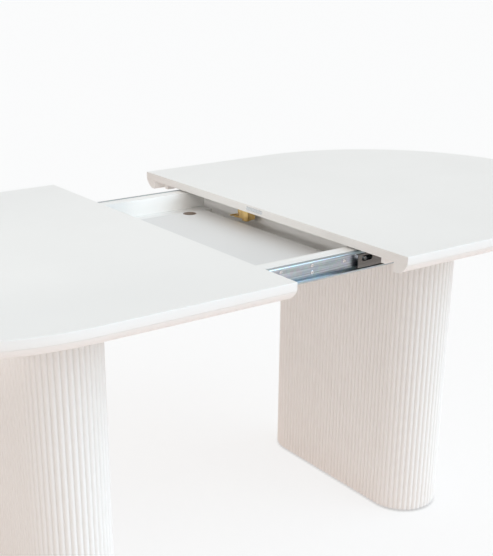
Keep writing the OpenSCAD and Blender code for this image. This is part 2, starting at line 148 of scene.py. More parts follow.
def rounded_rectangle(u0, u1, v0, v1, radius, steps=5):
    """An outline with round corners, anticlockwise. A radius of half its height makes a slot."""
    centres = [(u1 - radius, v1 - radius), (u0 + radius, v1 - radius),
               (u0 + radius, v0 + radius), (u1 - radius, v0 + radius)]
    points = []
    for quarter, (cu, cv) in enumerate(centres):
        for i in range(steps + 1):
            turn = math.pi / 2 * (quarter + i / steps)
            points.append((cu + radius * math.cos(turn), cv + radius * math.sin(turn)))
    return points


def edge_normals(points, closed):
    """The direction to the left of a row of 2-D points, at each point."""
    count = len(points)
    normals = []
    for i, point in enumerate(points):
        before = points[i - 1] if closed or i else point
        after = points[(i + 1) % count] if closed or i < count - 1 else point
        steps = [Vector(b) - Vector(a) for a, b in ((before, point), (point, after)) if a != b]
        lefts = [Vector((-step.y, step.x)).normalized() for step in steps]
        middle = sum(lefts, Vector((0, 0))).normalized()
        normals.append(middle / max(0.5, middle.dot(lefts[0])))
    return normals


def shift_left(points, distance, closed=True):
    return [Vector(p) + n * distance for p, n in zip(points, edge_normals(points, closed))]


def add_plate(bm, outer, holes, place, thickness, arris):
    """A flat plate with holes. Outlines are anticlockwise (u, v), and place makes a 3-D point."""
    rings = [outer] + [list(reversed(hole)) for hole in holes]
    faces = ([], [])
    levels = [(0, arris), (0, thickness - arris)]
    if arris:
        levels = [(arris, 0)] + levels + [(arris, thickness)]
    for ring in rings:
        rows = [[bm.verts.new(place(u, v, w)) for u, v in shift_left(ring, inset)] for inset, w in levels]
        bridge_loops(bm, rows)
        faces[0].append((shift_left(ring, arris), rows[0]))
        faces[1].append((shift_left(ring, arris), rows[-1]))
    for side in faces:
        outlines = [[Vector((u, v, 0)) for u, v in ring] for ring, _ in side]
        corners = [vert for _, row in side for vert in row]
        for triangle in tessellate_polygon(outlines):
            bm.faces.new([corners[i] for i in triangle])


def filleted(points, radius, steps=4):
    """A path of straight runs with each inner corner rounded."""
    path = [Vector(points[0])]
    for before, corner, after in zip(points, points[1:], points[2:]):
        corner = Vector(corner)
        back = (Vector(before) - corner).normalized() * radius
        on = (Vector(after) - corner).normalized() * radius
        for i in range(steps + 1):
            t = i / steps
            path.append(corner + back * (1 - t) ** 2 + on * t ** 2)
    return path + [Vector(points[-1])]


def add_strip(bm, path, thickness, x0, x1):
    """A folded strip of sheet: a path in (y, z), given thickness and drawn out along X."""
    left = shift_left(path, thickness / 2, closed=False)
    right = shift_left(path, -thickness / 2, closed=False)
    section = left + list(reversed(right))
    stack_loops(bm, [[(x, y, z) for y, z in section] for x in (x0, x1)])


def add_screw_head(bm, place, radius, height, segments=32, rings=7):
    """A pan head with a cross recess. It points along the +Z of place, from its seat."""
    half_arm, arm_reach, recess = 0.17 * radius, 0.62 * radius, 0.55 * height
    loops = []
    for ring in range(rings + 1):
        reach = radius * (1 - ring / (rings + 0.6))
        crown = height * math.sqrt(1 - 0.75 * (reach / radius) ** 4)
        row = []
        for x, y in circle(0, 0, reach, segments):
            narrow, wide = sorted((abs(x), abs(y)))
            in_cross = narrow < half_arm and wide < arm_reach
            row.append(bm.verts.new(place @ Vector((x, y, crown - (recess if in_cross else 0)))))
        loops.append(row)
    base = [bm.verts.new(place @ Vector((x, y, 0))) for x, y in circle(0, 0, radius, segments)]
    bridge_loops(bm, [base] + loops)
    bm.faces.new(loops[-1])
    bm.faces.new(list(reversed(base)))


# ---------------------------------------------------------------- materials
def new_material(name, color, roughness, metallic=0.0):
    material = bpy.data.materials.new(name)
    material.use_nodes = True
    nodes = material.node_tree.nodes
    shader = nodes["Principled BSDF"]
    shader.inputs["Base Color"].default_value = (*color, 1)
    shader.inputs["Roughness"].default_value = roughness
    shader.inputs["Metallic"].default_value = metallic
    return material, nodes, material.node_tree.links, shader


def object_coords(nodes, links, scale=(1, 1, 1)):
    coords = nodes.new("ShaderNodeTexCoord")
    mapping = nodes.new("ShaderNodeMapping")
    mapping.inputs["Scale"].default_value = scale
    links.new(coords.outputs["Object"], mapping.inputs["Vector"])
    return mapping.outputs["Vector"]


def add_noise(nodes, links, vector, scale, detail=4, roughness=0.5):
    noise = nodes.new("ShaderNodeTexNoise")
    noise.inputs["Scale"].default_value = scale
    noise.inputs["Detail"].default_value = detail
    noise.inputs["Roughness"].default_value = roughness
    links.new(vector, noise.inputs["Vector"])
    return noise.outputs["Fac"]


def add_ramp(nodes, links, factor, stops):
    ramp = nodes.new("ShaderNodeValToRGB")
    elements = ramp.color_ramp.elements
    while len(elements) < len(stops):
        elements.new(0.5)
    for element, (position, color) in zip(elements, stops):
        element.position = position
        element.color = (*color, 1)
    links.new(factor, ramp.inputs["Fac"])
    return ramp.outputs["Color"]


def add_range(nodes, links, factor, low, high):
    remap = nodes.new("ShaderNodeMapRange")
    remap.inputs["To Min"].default_value = low
    remap.inputs["To Max"].default_value = high
    links.new(factor, remap.inputs["Value"])
    return remap.outputs["Result"]


def add_mix(nodes, links, factor, low, high, blend="MIX"):
    mix = nodes.new("ShaderNodeMix")
    mix.data_type = "RGBA"
    mix.blend_type = blend
    for socket, value in ((mix.inputs[0], factor), (mix.inputs[6], low), (mix.inputs[7], high)):
        if isinstance(value, (int, float)):
            socket.default_value = value
        elif isinstance(value, tuple):
            socket.default_value = (*value, 1)
        else:
            links.new(value, socket)
    return mix.outputs[2]


def add_bump(nodes, links, shader, height, strength, distance, rounding=0.0):
    bump = nodes.new("ShaderNodeBump")
    bump.inputs["Strength"].default_value = strength
    bump.inputs["Distance"].default_value = distance
    links.new(height, bump.inputs["Height"])
    if rounding:
        bevel = nodes.new("ShaderNodeBevel")
        bevel.samples = 4
        bevel.inputs["Radius"].default_value = rounding
        links.new(bevel.outputs["Normal"], bump.inputs["Normal"])
    links.new(bump.outputs["Normal"], shader.inputs["Normal"])


def lacquer(name, tone=(0.86, 0.862, 0.85), rounding=0.0):
    """Matte white lacquer: a fine sprayed texture, faint clouding and slightly worn sheen."""
    material, nodes, links, shader = new_material(name, tone, 0.5)
    vector = object_coords(nodes, links)
    clouds = add_noise(nodes, links, vector, 3.0, 3)
    dark = tuple(0.985 * c for c in tone)
    light = tuple(min(1.0, 1.01 * c) for c in tone)
    color = add_ramp(nodes, links, clouds, [(0.3, dark), (0.7, light)])
    links.new(color, shader.inputs["Base Color"])
    smears = add_noise(nodes, links, vector, 14.0, 5, 0.6)
    links.new(add_range(nodes, links, smears, 0.44, 0.56), shader.inputs["Roughness"])
    spray = add_noise(nodes, links, vector, 900.0, 2, 0.5)
    add_bump(nodes, links, shader, spray, 0.10, 0.0004, rounding)
    return material


def bare_board(name):
    """Sealed fibreboard: brown, with fine pressed fibres."""
    material, nodes, links, shader = new_material(name, (0.42, 0.31, 0.2), 0.75)
    vector = object_coords(nodes, links)
    fibres = add_noise(nodes, links, vector, 420.0, 6, 0.7)
    clouds = add_noise(nodes, links, vector, 12.0, 3)
    base = add_ramp(nodes, links, fibres, [(0.3, (0.33, 0.24, 0.15)), (0.72, (0.52, 0.40, 0.27))])
    color = add_mix(nodes, links, add_range(nodes, links, clouds, 0.0, 0.35), base, (0.45, 0.34, 0.23))
    links.new(color, shader.inputs["Base Color"])
    add_bump(nodes, links, shader, fibres, 0.25, 0.0004, 0.0006)
    return material


def zinc_steel(name):
    """Zinc-plated strip steel, with drawn streaks along its length and faint spangle."""
    material, nodes, links, shader = new_material(name, (0.62, 0.65, 0.69), 0.34, 1.0)
    streak_vector = object_coords(nodes, links, (2.5, 160, 160))
    streaks = add_noise(nodes, links, streak_vector, 2.2, 5, 0.6)
    vector = object_coords(nodes, links)
    spangle = nodes.new("ShaderNodeTexVoronoi")
    spangle.inputs["Scale"].default_value = 130
    links.new(vector, spangle.inputs["Vector"])
    tone = add_ramp(nodes, links, streaks, [(0.3, (0.24, 0.29, 0.33)), (0.52, (0.46, 0.54, 0.59)),
                                            (0.75, (0.70, 0.79, 0.85))])
    color = add_mix(nodes, links, 0.12, tone, spangle.outputs["Color"], "SOFT_LIGHT")
    links.new(color, shader.inputs["Base Color"])
    links.new(add_range(nodes, links, streaks, 0.26, 0.46), shader.inputs["Roughness"])
    add_bump(nodes, links, shader, streaks, 0.12, 0.0004, 0.0003)
    return material


def dark_steel(name):
    """Dark coated strip steel, slightly streaked along its length."""
    material, nodes, links, shader = new_material(name, (0.02, 0.02, 0.02), 0.42)
    streak_vector = object_coords(nodes, links, (3, 140, 140))
    streaks = add_noise(nodes, links, streak_vector, 2.0, 4, 0.6)
    color = add_ramp(nodes, links, streaks, [(0.35, (0.115, 0.113, 0.11)), (0.7, (0.19, 0.187, 0.18))])
    links.new(color, shader.inputs["Base Color"])
    links.new(add_range(nodes, links, streaks, 0.34, 0.52), shader.inputs["Roughness"])
    add_bump(nodes, links, shader, streaks, 0.1, 0.0003, 0.0003)
    return material


def bright_steel(name):
    material, nodes, links, shader = new_material(name, (0.78, 0.79, 0.80), 0.24, 1.0)
    vector = object_coords(nodes, links)
    scuffs = add_noise(nodes, links, vector, 600.0, 4)
    links.new(add_range(nodes, links, scuffs, 0.16, 0.36), shader.inputs["Roughness"])
    add_bump(nodes, links, shader, scuffs, 0.05, 0.0002, 0.0003)
    return material


def brass(name):
    """Plated brass with a slightly darker, rubbed tone in patches."""
    material, nodes, links, shader = new_material(name, (0.80, 0.56, 0.22), 0.32, 1.0)
    vector = object_coords(nodes, links)
    patches = add_noise(nodes, links, vector, 70.0, 4)
    color = add_ramp(nodes, links, patches, [(0.32, (0.62, 0.40, 0.14)), (0.66, (0.86, 0.62, 0.27))])
    links.new(color, shader.inputs["Base Color"])
    links.new(add_range(nodes, links, patches, 0.24, 0.42), shader.inputs["Roughness"])
    add_bump(nodes, links, shader, patches, 0.08, 0.0003, 0.0004)
    return material


def felt(name):
    material, nodes, links, shader = new_material(name, (0.12, 0.12, 0.125), 0.95)
    vector = object_coords(nodes, links)
    fuzz = add_noise(nodes, links, vector, 900.0, 6, 0.8)
    color = add_ramp(nodes, links, fuzz, [(0.3, (0.07, 0.07, 0.075)), (0.75, (0.22, 0.22, 0.23))])
    links.new(color, shader.inputs["Base Color"])
    shader.inputs["Sheen Weight"].default_value = 0.4
    add_bump(nodes, links, shader, fuzz, 0.6, 0.0006)
    return material


def moulded_plastic(name, color, roughness):
    material, nodes, links, shader = new_material(name, color, roughness)
    vector = object_coords(nodes, links)
    grain = add_noise(nodes, links, vector, 1500.0, 3)
    links.new(add_range(nodes, links, grain, roughness - 0.08, roughness + 0.08), shader.inputs["Roughness"])
    add_bump(nodes, links, shader, grain, 0.15, 0.0002, 0.0004)
    return material


def pale_floor(name):
    """A pale studio floor that looks evenly lit, with a painted contact shadow that dims its glow only where
    something stands on it.
    """
    material, nodes, links, shader = new_material(name, (0.22, 0.22, 0.22), 0.9)
    shader.inputs["Specular IOR Level"].default_value = 0.0
    shader.inputs["Emission Color"].default_value = (1, 1, 1, 1)
    # Painted contact shadow: ambient occlusion dims the floor's glow where something stands close, a thin
    # dark line under each foot.
    painted_contact_shadow = nodes.new("ShaderNodeAmbientOcclusion")
    painted_contact_shadow.inputs["Distance"].default_value = 0.007
    links.new(add_range(nodes, links, painted_contact_shadow.outputs["AO"], 0.2, 0.752), shader.inputs["Emission Strength"])
    bounce = nodes.new("ShaderNodeBsdfDiffuse")
    bounce.inputs["Color"].default_value = (0.5, 0.5, 0.5, 1)
    path = nodes.new("ShaderNodeLightPath")
    mix = nodes.new("ShaderNodeMixShader")
    links.new(path.outputs["Is Camera Ray"], mix.inputs[0])
    links.new(bounce.outputs[0], mix.inputs[1])
    links.new(shader.outputs[0], mix.inputs[2])
    links.new(mix.outputs[0], nodes["Material Output"].inputs["Surface"])
    return material


MATERIALS = {
    "lacquer": lacquer("white_lacquer"),
    "lacquer_edged": lacquer("white_lacquer_edged", rounding=0.0008),
    # Greyer than the tops' lacquer: painted shade that stands in for the shade the stored leaf lies in, not
    # a different paint.
    "leaf_painted_shade_lacquer": lacquer("leaf_painted_shade_lacquer", (0.75, 0.754, 0.75)),
    "bare_board": bare_board("bare_board"),
    "zinc": zinc_steel("zinc_steel"),
    "dark_steel": dark_steel("dark_steel"),
    "bright_steel": bright_steel("bright_steel"),
    "brass": brass("brass"),
    "felt": felt("felt"),
    "glide": moulded_plastic("glide_nylon", (0.035, 0.035, 0.037), 0.5),
    "brown_plastic": moulded_plastic("brown_plastic", (0.25, 0.20, 0.165), 0.5),
    "floor": pale_floor("pale_floor"),
}
SLOT_MATERIALS = {
    "white_lacquer": "lacquer_edged",
    "bare_board": "bare_board",
    "zinc_steel": "zinc",
    "dark_steel": "dark_steel",
    "bright_steel": "bright_steel",
    "brass": "brass",
    "felt": "felt",
    "glide_nylon": "glide",
    "brown_plastic": "brown_plastic",
}


def paint_cad_nodes():
    """Gives each CAD node the procedural material of its slot in the record."""
    for entry in frame["record"]["subparts"]:
        mesh = frame["nodes"][entry["node"]].data
        mesh.materials.clear()
        mesh.materials.append(MATERIALS[SLOT_MATERIALS[entry["material_slot"]]])


# ---------------------------------------------------------------- top
EDGE_BAND_DROP = 16.5 * MM      # height of the upright part of the outer edge
UNDERCUT_RADIUS = 47 * MM
UNDERCUT_WIDTH = 24 * MM
BAND_WIDTH = 37 * MM
ARRIS = 1.0 * MM
END_STEPS = 72
SIDE_STEPS = 4


class HalfTop:
    """The plan of one half of the top, read from its CAD board."""

    def __init__(self, side):
        self.side = side
        name = "right" if side > 0 else "left"
        low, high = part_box(name + "_top_board")
        band_low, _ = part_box(name + "_edge_band")
        self.radius = (high.y - low.y) / 2
        self.inner = low.x if side > 0 else -high.x
        self.end = (high.x if side > 0 else -low.x) - self.radius
        self.top, self.underside, self.band_floor = high.z, low.z, band_low.z

    def loop(self, outer, inner, z):
        """The plan at one level, inset from the outer edge and from the straight inner edge."""
        reach = self.radius - outer
        turns = [math.pi * (i / END_STEPS - 0.5) for i in range(END_STEPS + 1)]
        points = [(self.end + reach * math.cos(t), reach * math.sin(t)) for t in turns]
        start = self.inner + inner
        mids = [start + (self.end - start) * i / SIDE_STEPS for i in range(SIDE_STEPS)]
        near = [(x, -reach) for x in mids]
        far = [(x, reach) for x in reversed(mids)]
        return [(self.side * x, y, z) for x, y in near + points + far]

    def rail(self, inset, z):
        """One line along the outer edge, from the near inner corner round to the far one."""
        return self.loop(inset, 0, z)


def undercut_inset(top, z, drop):
    """How far the undercut has come in at a depth below the top face, along its arc."""
    rise = drop - EDGE_BAND_DROP
    chord = math.hypot(UNDERCUT_WIDTH, rise)
    offset = math.sqrt(UNDERCUT_RADIUS ** 2 - (chord / 2) ** 2)
    centre_in = UNDERCUT_WIDTH / 2 + offset * rise / chord
    centre_z = top - (EDGE_BAND_DROP + drop) / 2 + offset * UNDERCUT_WIDTH / chord
    return max(0.0, centre_in - math.sqrt(UNDERCUT_RADIUS ** 2 - (z - centre_z) ** 2))


def build_board(half, name, body, node):
    """One board of the top: rounded arrises above, and the start of the undercut below."""
    bm = bmesh.new()
    drop = half.top - half.band_floor
    rows = []
    bottom_in = undercut_inset(half.top, half.underside, drop)
    soft = 0.4 * MM
    rows.append(half.loop(bottom_in + soft, soft, half.underside))
    rows.append(half.loop(bottom_in, 0, half.underside + soft))
    band_z = half.top - EDGE_BAND_DROP
    rows.append(half.loop(0.1 * MM, 0, band_z - 0.3 * MM))
    rows.append(half.loop(0, 0, band_z))
    for inset, fall in reversed(rounded(ARRIS)):
        rows.append(half.loop(inset, inset, half.top - fall))
    stack_loops(bm, rows)
    add_piece(name, bm, "lacquer", "white_lacquer", body, node)


def build_edge_band(half, name, body, node):
    """The strip that builds up the edge, with its long undercut and flat underside."""
    bm = bmesh.new()
    drop = half.top - half.band_floor
    steps = 10
    section = []
    for i in range(steps + 1):
        z = half.underside + (half.band_floor - half.underside) * i / steps
        section.append((undercut_inset(half.top, z, drop), z))
    soft = 0.8 * MM
    section[-1] = (section[-1][0] - 0.6 * MM, section[-1][1] + soft * 0.7)
    section.append((section[-1][0] + 1.4 * MM, half.band_floor))
    section.append((BAND_WIDTH - soft, half.band_floor))
    section.append((BAND_WIDTH, half.band_floor + soft))
    section.append((BAND_WIDTH, half.underside))
    rails = [[bm.verts.new(p) for p in half.rail(inset, z)] for inset, z in section]
    bridge_loops(bm, rails + [rails[0]], closed=False)
    for end in (0, -1):
        bm.faces.new([rail[end] for rail in rails])
    add_piece(name, bm, "lacquer", "white_lacquer", body, node)


def build_tops():
    for side, name in ((-1, "left"), (1, "right")):
        half = HalfTop(side)
        build_board(half, name + "_board_panel", name + "_top", name + "_top_board")
        build_edge_band(half, name + "_edge_build_up", name + "_top", name + "_edge_band")


# ---------------------------------------------------------------- legs
SIDE_REEDS = 30
END_REEDS = 22
REED_RADIUS = 6.6 * MM
REED_STEPS = 10
REED_SLACK = 0.4 * MM           # makes up for the valley at the middle of each rounded end
LEG_SOFT = 1.2 * MM
LEG_WALL = 16 * MM
LEG_DISH = 0.3 * MM
LEG_LEVELS = 6


def reed_centres(width, thickness):
    """Centres of the reeds round the leg, anticlockwise from the middle of its +X side."""
    core = thickness / 2 - REED_RADIUS
    straight = width - thickness
    pitch = straight / SIDE_REEDS
    right = [(core, -straight / 2 + pitch * (i + 0.5)) for i in range(SIDE_REEDS)]
    turns = [math.pi * (i + 0.5) / END_REEDS for i in range(END_REEDS)]
    far = [(core * math.cos(t), straight / 2 + core * math.sin(t)) for t in turns]
    return right + far + [(-x, -y) for x, y in right + far]


def valley(a, b):
    """The outer point where the circles of two neighbouring reeds cross, with the leg on their left."""
    mid = Vector(((a[0] + b[0]) / 2, (a[1] + b[1]) / 2))
    along = Vector((b[0] - a[0], b[1] - a[1]))
    outward = Vector((along.y, -along.x)).normalized()
    return mid + outward * math.sqrt(REED_RADIUS ** 2 - (along.length / 2) ** 2)


def reeded_outline(width, thickness):
    centres = reed_centres(width, thickness)
    points = []
    for i, centre in enumerate(centres):
        start = valley(centres[i - 1], centre) - Vector(centre)
        stop = valley(centre, centres[(i + 1) % len(centres)]) - Vector(centre)
        a0 = math.atan2(start.y, start.x)
        sweep = (math.atan2(stop.y, stop.x) - a0) % (2 * math.pi)
        for step in range(REED_STEPS):
            turn = a0 + sweep * step / REED_STEPS
            points.append((centre[0] + REED_RADIUS * math.cos(turn),
                           centre[1] + REED_RADIUS * math.sin(turn)))
    return points


def build_leg(name):
    """A reeded column with softened rims, whose two ends are dished by a hair inside the wall."""
    low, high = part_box(name + "_shell")
    centre = (low + high) / 2
    half = (high - low) / 2
    outline = reeded_outline(high.y - low.y + REED_SLACK, high.x - low.x)

    def row(inset, z):
        fx, fy = 1 - inset / half.x, 1 - inset / half.y
        return [(centre.x + x * fx, centre.y + y * fy, z) for x, y in outline]

    rows = [row(LEG_WALL, low.z + LEG_DISH), row(LEG_SOFT, low.z), row(0.2 * MM, low.z + 0.5 * MM)]
    for i in range(LEG_LEVELS + 1):
        rows.append(row(0, low.z + LEG_SOFT + (high.z - low.z - 2 * LEG_SOFT) * i / LEG_LEVELS))
    rows += [row(LEG_SOFT, high.z), row(LEG_WALL, high.z - LEG_DISH)]
    bm = bmesh.new()
    stack_loops(bm, rows)
    add_piece(name + "_reeded_skin", bm, "lacquer", "white_lacquer", "frame", name + "_shell")


def build_legs():
    for name in ("left_leg", "right_leg"):
        build_leg(name)


# ---------------------------------------------------------------- frame boards
LINER = 11 * MM
LEDGE_WIDTH = 46 * MM
BATTEN_WIDTH = 12 * MM
LAP = 1 * MM                    # how far the narrow part of an end rail runs up into its wide part


def add_board(name, material, slot, body, node, *boxes, radius=0.8 * MM):
    """One piece of boards with softened arrises, from (low, high) corners."""
    bm = bmesh.new()
    for low, high in boxes:
        add_box(bm, low, high, radius)
    add_piece(name, bm, material, slot, body, node)


def mirrored_boxes(low, high, inner):
    """The two boxes of a pair that stand at both Y ends of one node, from their inner faces out."""
    return [((low.x, inner, low.z), (high.x, high.y, high.z)),
            ((low.x, low.y, low.z), (high.x, -inner, high.z))]


def build_frame_boards():
    for node in ("near_apron", "far_apron", "box_floor_panel"):
        add_board(node + "_board", "lacquer", "white_lacquer", "frame", node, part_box(node))
    apron_low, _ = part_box("near_apron")
    well_low, well_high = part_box("box_well_sides")
    for node in ("left_box_end_rail", "right_box_end_rail"):
        low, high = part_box(node)
        upper = ((low.x, low.y, apron_low.z), (high.x, high.y, high.z))
        lower = ((low.x, well_low.y, low.z), (high.x, well_high.y, apron_low.z + LAP))
        add_board(node + "_board", "lacquer", "white_lacquer", "frame", node, upper, lower)
    walls = {"box_side_liners": LINER, "box_well_sides": LINER, "box_ledges": LEDGE_WIDTH}
    for node, width in walls.items():
        low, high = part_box(node)
        pair = mirrored_boxes(low, high, high.y - width)
        add_board(node + "_boards", "lacquer", "white_lacquer", "frame", node, *pair)
    for side in ("left", "right"):
        node = side + "_stiffening_battens"
        low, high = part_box(node)
        pair = mirrored_boxes(low, high, high.y - BATTEN_WIDTH)
        add_board(node + "_strips", "lacquer", "white_lacquer", side + "_top", node, *pair)


# ---------------------------------------------------------------- stored leaf
PULL_PLACE = (98 * MM, 222 * MM)
PULL_RADIUS = 16 * MM
PULL_GAP = 0.05 * MM
DOWEL_RADIUS = 4 * MM


def build_leaf():
    """The folded leaf: its two panels, the finger pull let into the upper one, and its dowels."""
    add_board("leaf_lower_board", "leaf_painted_shade_lacquer", "white_lacquer", "frame", "leaf_lower_panel",
              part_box("leaf_lower_panel"))
    low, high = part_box("leaf_upper_panel")
    bm = bmesh.new()
    outer = rounded_rectangle(low.x, high.x, low.y, high.y, 1.2 * MM, 3)
    hole = circle(*PULL_PLACE, PULL_RADIUS + PULL_GAP, 48)
    add_plate(bm, outer, [hole], lambda u, v, w: (u, v, low.z + w), high.z - low.z, 0.7 * MM)
    add_piece("leaf_upper_board", bm, "leaf_painted_shade_lacquer", "white_lacquer", "frame", "leaf_upper_panel")
    build_finger_pull()
    build_dowels()


def build_finger_pull():
    """A shallow round cup with a rolled rim."""
    low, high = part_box("leaf_finger_pull")
    depth = high.z - low.z
    bm = bmesh.new()
    profile = [(0, 0), (PULL_RADIUS - 1.2 * MM, 0), (PULL_RADIUS, 1.2 * MM), (PULL_RADIUS, depth - 0.5 * MM),
               (PULL_RADIUS - 0.5 * MM, depth), (PULL_RADIUS - 1.1 * MM, depth),
               (PULL_RADIUS - 1.9 * MM, depth - 0.8 * MM), (PULL_RADIUS - 2.2 * MM, 4 * MM),
               (PULL_RADIUS - 3.4 * MM, 2.2 * MM), (PULL_RADIUS - 5.5 * MM, 1.5 * MM), (0, 1.5 * MM)]
    add_turned(bm, profile, Matrix.Translation((*PULL_PLACE, low.z)), 48)
    add_piece("leaf_finger_cup", bm, "brown_plastic", "brown_plastic", "frame", "leaf_finger_pull")


def build_dowels():
    """Wooden dowels whose ends are chamfered, standing out of the leaf's right edge."""
    low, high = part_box("leaf_dowels")
    radius = DOWEL_RADIUS
    length = high.x - low.x
    profile = [(0, 0), (radius - 1 * MM, 0), (radius, 1 * MM), (radius, length - 1.6 * MM),
               (radius - 1.4 * MM, length), (0, length)]
    bm = bmesh.new()
    for y in (low.y + radius, high.y - radius):
        for z in (low.z + radius, high.z - radius):
            place = Matrix.Translation((low.x, y, z)) @ Matrix.Rotation(math.pi / 2, 4, "Y")
            add_turned(bm, profile, place, 20)
    add_piece("leaf_dowel_pins", bm, "bare_board", "bare_board", "frame", "leaf_dowels")


# ---------------------------------------------------------------- slides
STRIP = 1.4 * MM
LIP = 3 * MM
CHANNEL_FOLD = 8 * MM           # height of each folded race of the fixed channel
MEMBER_FOLD = 5 * MM
HOLE_RADIUS = 4 * MM
CHANNEL_HOLES = (-165 * MM, 165 * MM)
MEMBER_DEPTH = 8.5 * MM
MEMBER_HOLES = (100 * MM, 196 * MM, 286 * MM)
MEMBER_SETBACK = 1.5 * MM       # how far a member stops short of its half's inner edge
MEMBER_SLOT = (11 * MM, 40 * MM)
SLOT_RADIUS = 6 * MM
SLOT_RISE = 5 * MM
# Along the channel, and up from its middle, in mm.
SLIDE_SCREWS = [(-520, 5), (-390, -5), (-260, 5), (-150, -5), (-53, 9), (25, -6), (25, 9), (108, 4),
                (260, -5), (390, 5), (520, -5)]


def facing(side, x, y, z):
    """A place on the near (-1) or far (1) side whose +Z points away from the table's middle."""
    return Matrix.Translation((x, y, z)) @ Matrix.Rotation(-side * math.pi / 2, 4, "X")


def on_face(side, y):
    """Places (x, z, depth) points on an upright plane at y, with depth going outwards."""
    return lambda u, v, w: (u, side * (y + w), v)


def add_web(bm, side, face, low, high, fold, holes):
    """The flat middle of a rolled strip, between its two folds, with its inner side at a face."""
    outer = [(low.x, low.z + fold), (high.x, low.z + fold),
             (high.x, high.z - fold), (low.x, high.z - fold)]
    add_plate(bm, outer, holes, on_face(side, face), STRIP, 0.0)


def build_channel(side, name):
    """The fixed C-shaped channel: a web between two folded races, as one rolled strip."""
    low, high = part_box(name)
    face = min(abs(low.y), abs(high.y))
    rim = max(abs(low.y), abs(high.y)) - STRIP / 2
    web = face + STRIP / 2
    bm = bmesh.new()
    for edge, inward in ((low.z, 1), (high.z, -1)):
        run = edge + inward * STRIP / 2
        corners = [(rim, edge + inward * (STRIP + LIP)), (rim, run), (web, run),
                   (web, edge + inward * CHANNEL_FOLD)]
        path = filleted([(side * y, z) for y, z in corners], 2.6 * MM, 5)
        add_strip(bm, path, STRIP, low.x, high.x)
    middle = (low.z + high.z) / 2
    holes = [circle(x, middle, HOLE_RADIUS) for x in CHANNEL_HOLES]
    add_web(bm, side, face, low, high, CHANNEL_FOLD, holes)
    add_piece(name + "_strip", bm, "zinc", "zinc_steel", "frame", name)


def build_channel_screws():
    low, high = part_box("near_slide_channel")
    seat = abs(high.y) + STRIP
    middle = (low.z + high.z) / 2
    bm = bmesh.new()
    for side in (-1, 1):
        for x, rise in SLIDE_SCREWS:
            place = facing(side, x * MM, side * seat, middle + rise * MM)
            add_screw_head(bm, place, 4.2 * MM, 1.6 * MM)
    add_piece("slide_channel_screw_heads", bm, "bright_steel", "bright_steel", "frame",
              "slide_channel_screws")


def build_members(end, body):
    """The moving members: a channel that faces the fixed one, with a slot and round holes in its web."""
    name = body.replace("_top", "_slide_members")
    low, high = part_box(name)
    seam = (low.x if end > 0 else high.x) - end * MEMBER_SETBACK
    middle = (low.z + high.z) / 2
    web = high.y - STRIP / 2
    slot_ends = sorted(seam + end * x for x in MEMBER_SLOT)
    slot_rims = (middle + SLOT_RISE - SLOT_RADIUS, middle + SLOT_RISE + SLOT_RADIUS)
    holes = [circle(seam + end * x, middle, HOLE_RADIUS) for x in MEMBER_HOLES]
    holes.append(rounded_rectangle(*slot_ends, *slot_rims, SLOT_RADIUS))
    bm = bmesh.new()
    for side in (-1, 1):
        for edge, inward in ((low.z, 1), (high.z, -1)):
            run = edge + inward * STRIP / 2
            corners = [(high.y - MEMBER_DEPTH, run), (web, run), (web, edge + inward * MEMBER_FOLD)]
            path = filleted([(side * y, z) for y, z in corners], 2.2 * MM, 5)
            add_strip(bm, path, STRIP, low.x, high.x)
        add_web(bm, side, high.y - STRIP, low, high, MEMBER_FOLD, holes)
    add_piece(name + "_strips", bm, "dark_steel", "dark_steel", body, name)


BRACKET_STARTS = (126 * MM, 216 * MM, 306 * MM)
BRACKET_LENGTH = 50 * MM
BRACKET_STRIP = 2 * MM
MEMBER_SCREWS = (10 * MM, 40 * MM)
BOARD_SCREWS = (12 * MM, 38 * MM)
BOARD_SCREW_REACH = 22 * MM


def build_brackets(end, body):
    """Folded angle brackets that hold the board on the members, with their screws."""
    name = body.replace("_top", "_slide_brackets")
    low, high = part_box(name)
    member_low, member_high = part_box(body.replace("_top", "_slide_members"))
    face = member_high.y + BRACKET_STRIP / 2
    seam = (member_low.x if end > 0 else member_high.x) - end * MEMBER_SETBACK
    middle = (member_low.z + member_high.z) / 2
    top = high.z - BRACKET_STRIP / 2
    head_down = Matrix.Rotation(math.pi, 4, "X")
    bm = bmesh.new()
    heads = bmesh.new()
    for side in (-1, 1):
        for start in BRACKET_STARTS:
            path = filleted([(side * face, low.z), (side * face, top), (side * high.y, top)], 3 * MM, 5)
            x0, x1 = sorted((seam + end * start, seam + end * (start + BRACKET_LENGTH)))
            add_strip(bm, path, BRACKET_STRIP, x0, x1)
            for offset in MEMBER_SCREWS:
                x = seam + end * (start + offset)
                place = facing(side, x, side * (face + BRACKET_STRIP / 2), middle)
                add_screw_head(heads, place, 3.8 * MM, 2.2 * MM)
            for offset in BOARD_SCREWS:
                x = seam + end * (start + offset)
                y = side * (member_high.y + BOARD_SCREW_REACH)
                seat = Matrix.Translation((x, y, high.z - BRACKET_STRIP))
                add_screw_head(heads, seat @ head_down, 3.8 * MM, 1.6 * MM)
    add_piece(name + "_angles", bm, "dark_steel", "dark_steel", body, name)
    screws = body.replace("_top", "_bracket_screws")
    add_piece(screws + "_heads", heads, "bright_steel", "bright_steel", body, screws)


def build_slides():
    build_channel(-1, "near_slide_channel")
    build_channel(1, "far_slide_channel")
    build_channel_screws()
    for end, body in ((-1, "left_top"), (1, "right_top")):
        build_members(end, body)
        build_brackets(end, body)


# ---------------------------------------------------------------- catch and locator
PROUD = 0.15 * MM               # how far each face stands out of the board's edge


